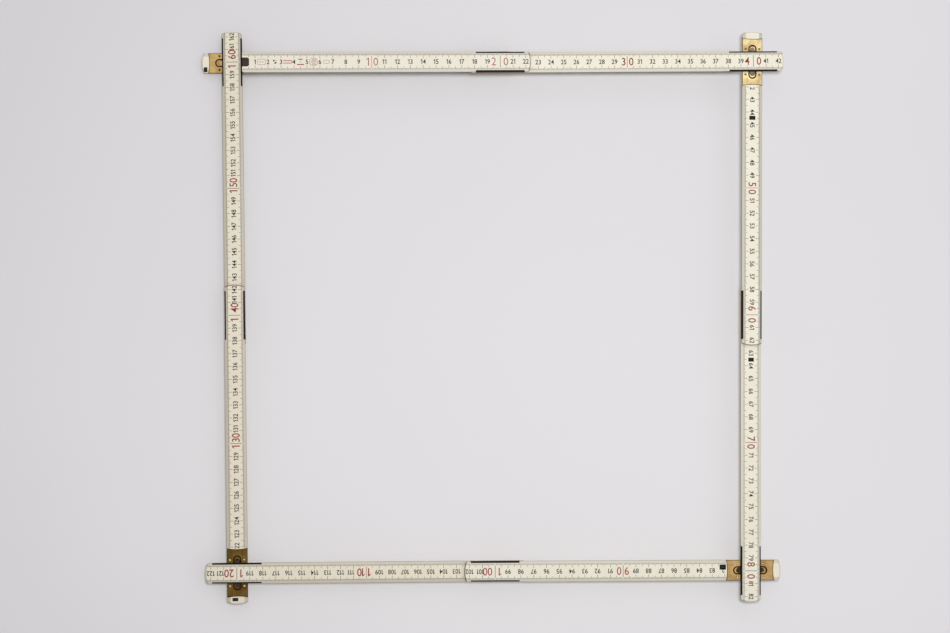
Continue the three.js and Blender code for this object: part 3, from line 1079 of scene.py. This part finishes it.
def red_mark_mesh():
    shape = bmesh.new()
    ink_ring(shape, rounded_block(15 * mm, 0, 3.1 * mm, 2.3 * mm, 1.1 * mm), line_width)
    for x in (14 * mm, 16 * mm):
        ink_patch(shape, arc((x, 0), 0.45 * mm, 0, 330, 11))
    for x, y in ((24.9, -0.9), (26.3, 1.0)):
        ink_patch(shape, arc((x * mm, y * mm), 0.42 * mm, 0, 330, 11))
    for y in (-0.95 * mm, 0.95 * mm):
        ink_patch(shape, rounded_block(35 * mm, y, 3.4 * mm, 0.3 * mm, 0.15 * mm))
        ink_patch(shape, arc((38.6 * mm, y * 0.5), 0.38 * mm, 0, 330, 11))
    ink_patch(shape, rounded_block(45 * mm, 2.0 * mm, 1.7 * mm, 0.42 * mm, 0.2 * mm))
    ink_patch(shape, arc((45 * mm, 0), 0.4 * mm, 0, 330, 11))
    ink_patch(shape, rounded_block(45 * mm, -2.1 * mm, 2.7 * mm, 0.42 * mm, 0.2 * mm))
    ink_ring(shape, rounded_block(55 * mm, 0, 3.1 * mm, 3.0 * mm, 2.2 * mm), line_width)
    for i in range(-2, 3):
        x, half_length = (55 + 0.25 * abs(i)) * mm, (2.2 - 0.35 * abs(i)) * mm
        ink_patch(shape, rounded_block(x, i * mm, half_length, 0.16 * mm, 0.1 * mm))
    ink_ring(shape, moved(oblong(2.6 * mm, 1.35 * mm, 8), 65 * mm), line_width)
    return finished_mesh(shape, "red_marks", 30)


set_on_limb("red_marks", red_mark_mesh(), first_limb, pale_red_ink)

# Black blocks, in mm: limb, place along it, place across it, half length, half width.
black_blocks = [
    (1, 24.5, 0.95, 0.6, 0.6),
    (1, 25.9, -0.75, 0.6, 0.6),
    (3, 44.5, 0.0, 1.6, 2.4),
    (4, 35.1, 0.0, 1.55, 2.2),
    (5, 21.6, -2.6, 2.55, 2.0),
    (7, -20.55, 1.65, 1.3, 2.25),
    (9, -21.1, -5.2, 1.45, 1.9),
]
for i, (n, along, across, half_length, half) in enumerate(black_blocks):
    block = bmesh.new()
    stroke(block, along * mm, 2 * half_length * mm, (across + half) * mm, (across - half) * mm)
    name = f"black_block_{i + 1}"
    set_on_limb(name, finished_mesh(block, name, 30), n, black_ink)


# ---- The floor, the light and the camera -------------------------------------------------
# A plain pale sheet under the rule, with painted light that makes it lighter towards the near left; one
# soft lamp above it, tipped towards the far right; and a wide pale sky that is brighter on that side.
middle = (Vector(cad_box[0]) + Vector(cad_box[1])) / 2


def pale_floor():
    material, tree, shader, where = new_material("pale_sheet", Roughness=0.85, Specular_IOR_Level=0.15)
    cloud = noise(tree, where, (1, 1, 1), 5, 3)
    axes = tree.nodes.new("ShaderNodeSeparateXYZ")
    tree.links.new(where, axes.inputs[0])
    forward = maths(tree, "ADD", maths(tree, "MULTIPLY", axes.outputs["X"], 0.25), axes.outputs["Y"])
    # Painted light: the sheet's colour grows lighter towards the near left.
    painted_light_near_left = between(tree, forward, 0.25, -0.3)
    colour = mix(tree, painted_light_near_left, (0.72, 0.71, 0.73, 1), (0.825, 0.81, 0.825, 1))
    clouding = maths(tree, "MULTIPLY", between(tree, cloud, 0.3, 0.7), 0.25)
    colour = mix(tree, clouding, colour, (0.76, 0.75, 0.765, 1))
    tree.links.new(colour, shader.inputs["Base Color"])
    bump(tree, shader, noise(tree, where, (1, 1, 1), 900, 2), 0.05 * mm, 0.2)
    return material


floor_shape = bmesh.new()
bmesh.ops.create_grid(floor_shape, x_segments=8, y_segments=8, size=2.5)
floor_mesh = bpy.data.meshes.new("floor")
floor_shape.to_mesh(floor_mesh)
floor_shape.free()
floor_mesh.materials.append(pale_floor())
floor = bpy.data.objects.new("floor", floor_mesh)
bpy.context.scene.collection.objects.link(floor)


lamp = bpy.data.lights.new("soft_lamp", "AREA")
lamp.shape = "DISK"
lamp.size = 0.17
lamp.energy = 10
lamp_holder = bpy.data.objects.new("soft_lamp", lamp)
bpy.context.scene.collection.objects.link(lamp_holder)
lamp_holder.location = (0.0, 0.03, 1.25)
aimed_at = Vector((0.7, 0.7, 0))
lamp_holder.rotation_euler = (aimed_at - lamp_holder.location).to_track_quat("-Z", "Y").to_euler()

world = bpy.data.worlds.new("pale_room")
bpy.context.scene.world = world
world.use_nodes = True
sky = world.node_tree
sky_direction = sky.nodes.new("ShaderNodeTexCoord").outputs["Generated"]
sky_axes = sky.nodes.new("ShaderNodeSeparateXYZ")
sky.links.new(sky_direction, sky_axes.inputs[0])
sky_side = maths(sky, "ADD", sky_axes.outputs["X"], sky_axes.outputs["Y"])
overhead = mix(sky, between(sky, sky_side, -0.35, 0.5), (0.3, 0.295, 0.3, 1), (1.0, 0.98, 0.98, 1))
sky_colour = mix(sky, between(sky, sky_axes.outputs["Z"], 0.5, 0.85), (0.45, 0.445, 0.455, 1), overhead)
sky.links.new(sky_colour, sky.nodes["Background"].inputs["Color"])
sky.nodes["Background"].inputs["Strength"].default_value = 0.92

bpy.context.scene.view_settings.view_transform = "Standard"

camera_height = 1.2
camera_data = bpy.data.cameras.new("camera")
camera_data.lens = 57.28
camera_data.sensor_width = 36
camera = bpy.data.objects.new("camera", camera_data)
bpy.context.scene.collection.objects.link(camera)
camera.location = (middle.x - 71.2 * mm, middle.y - 49.1 * mm, camera_height)
camera.rotation_euler = [math.radians(angle) for angle in (2.362, -2.642, -0.677)]
bpy.context.scene.camera = camera
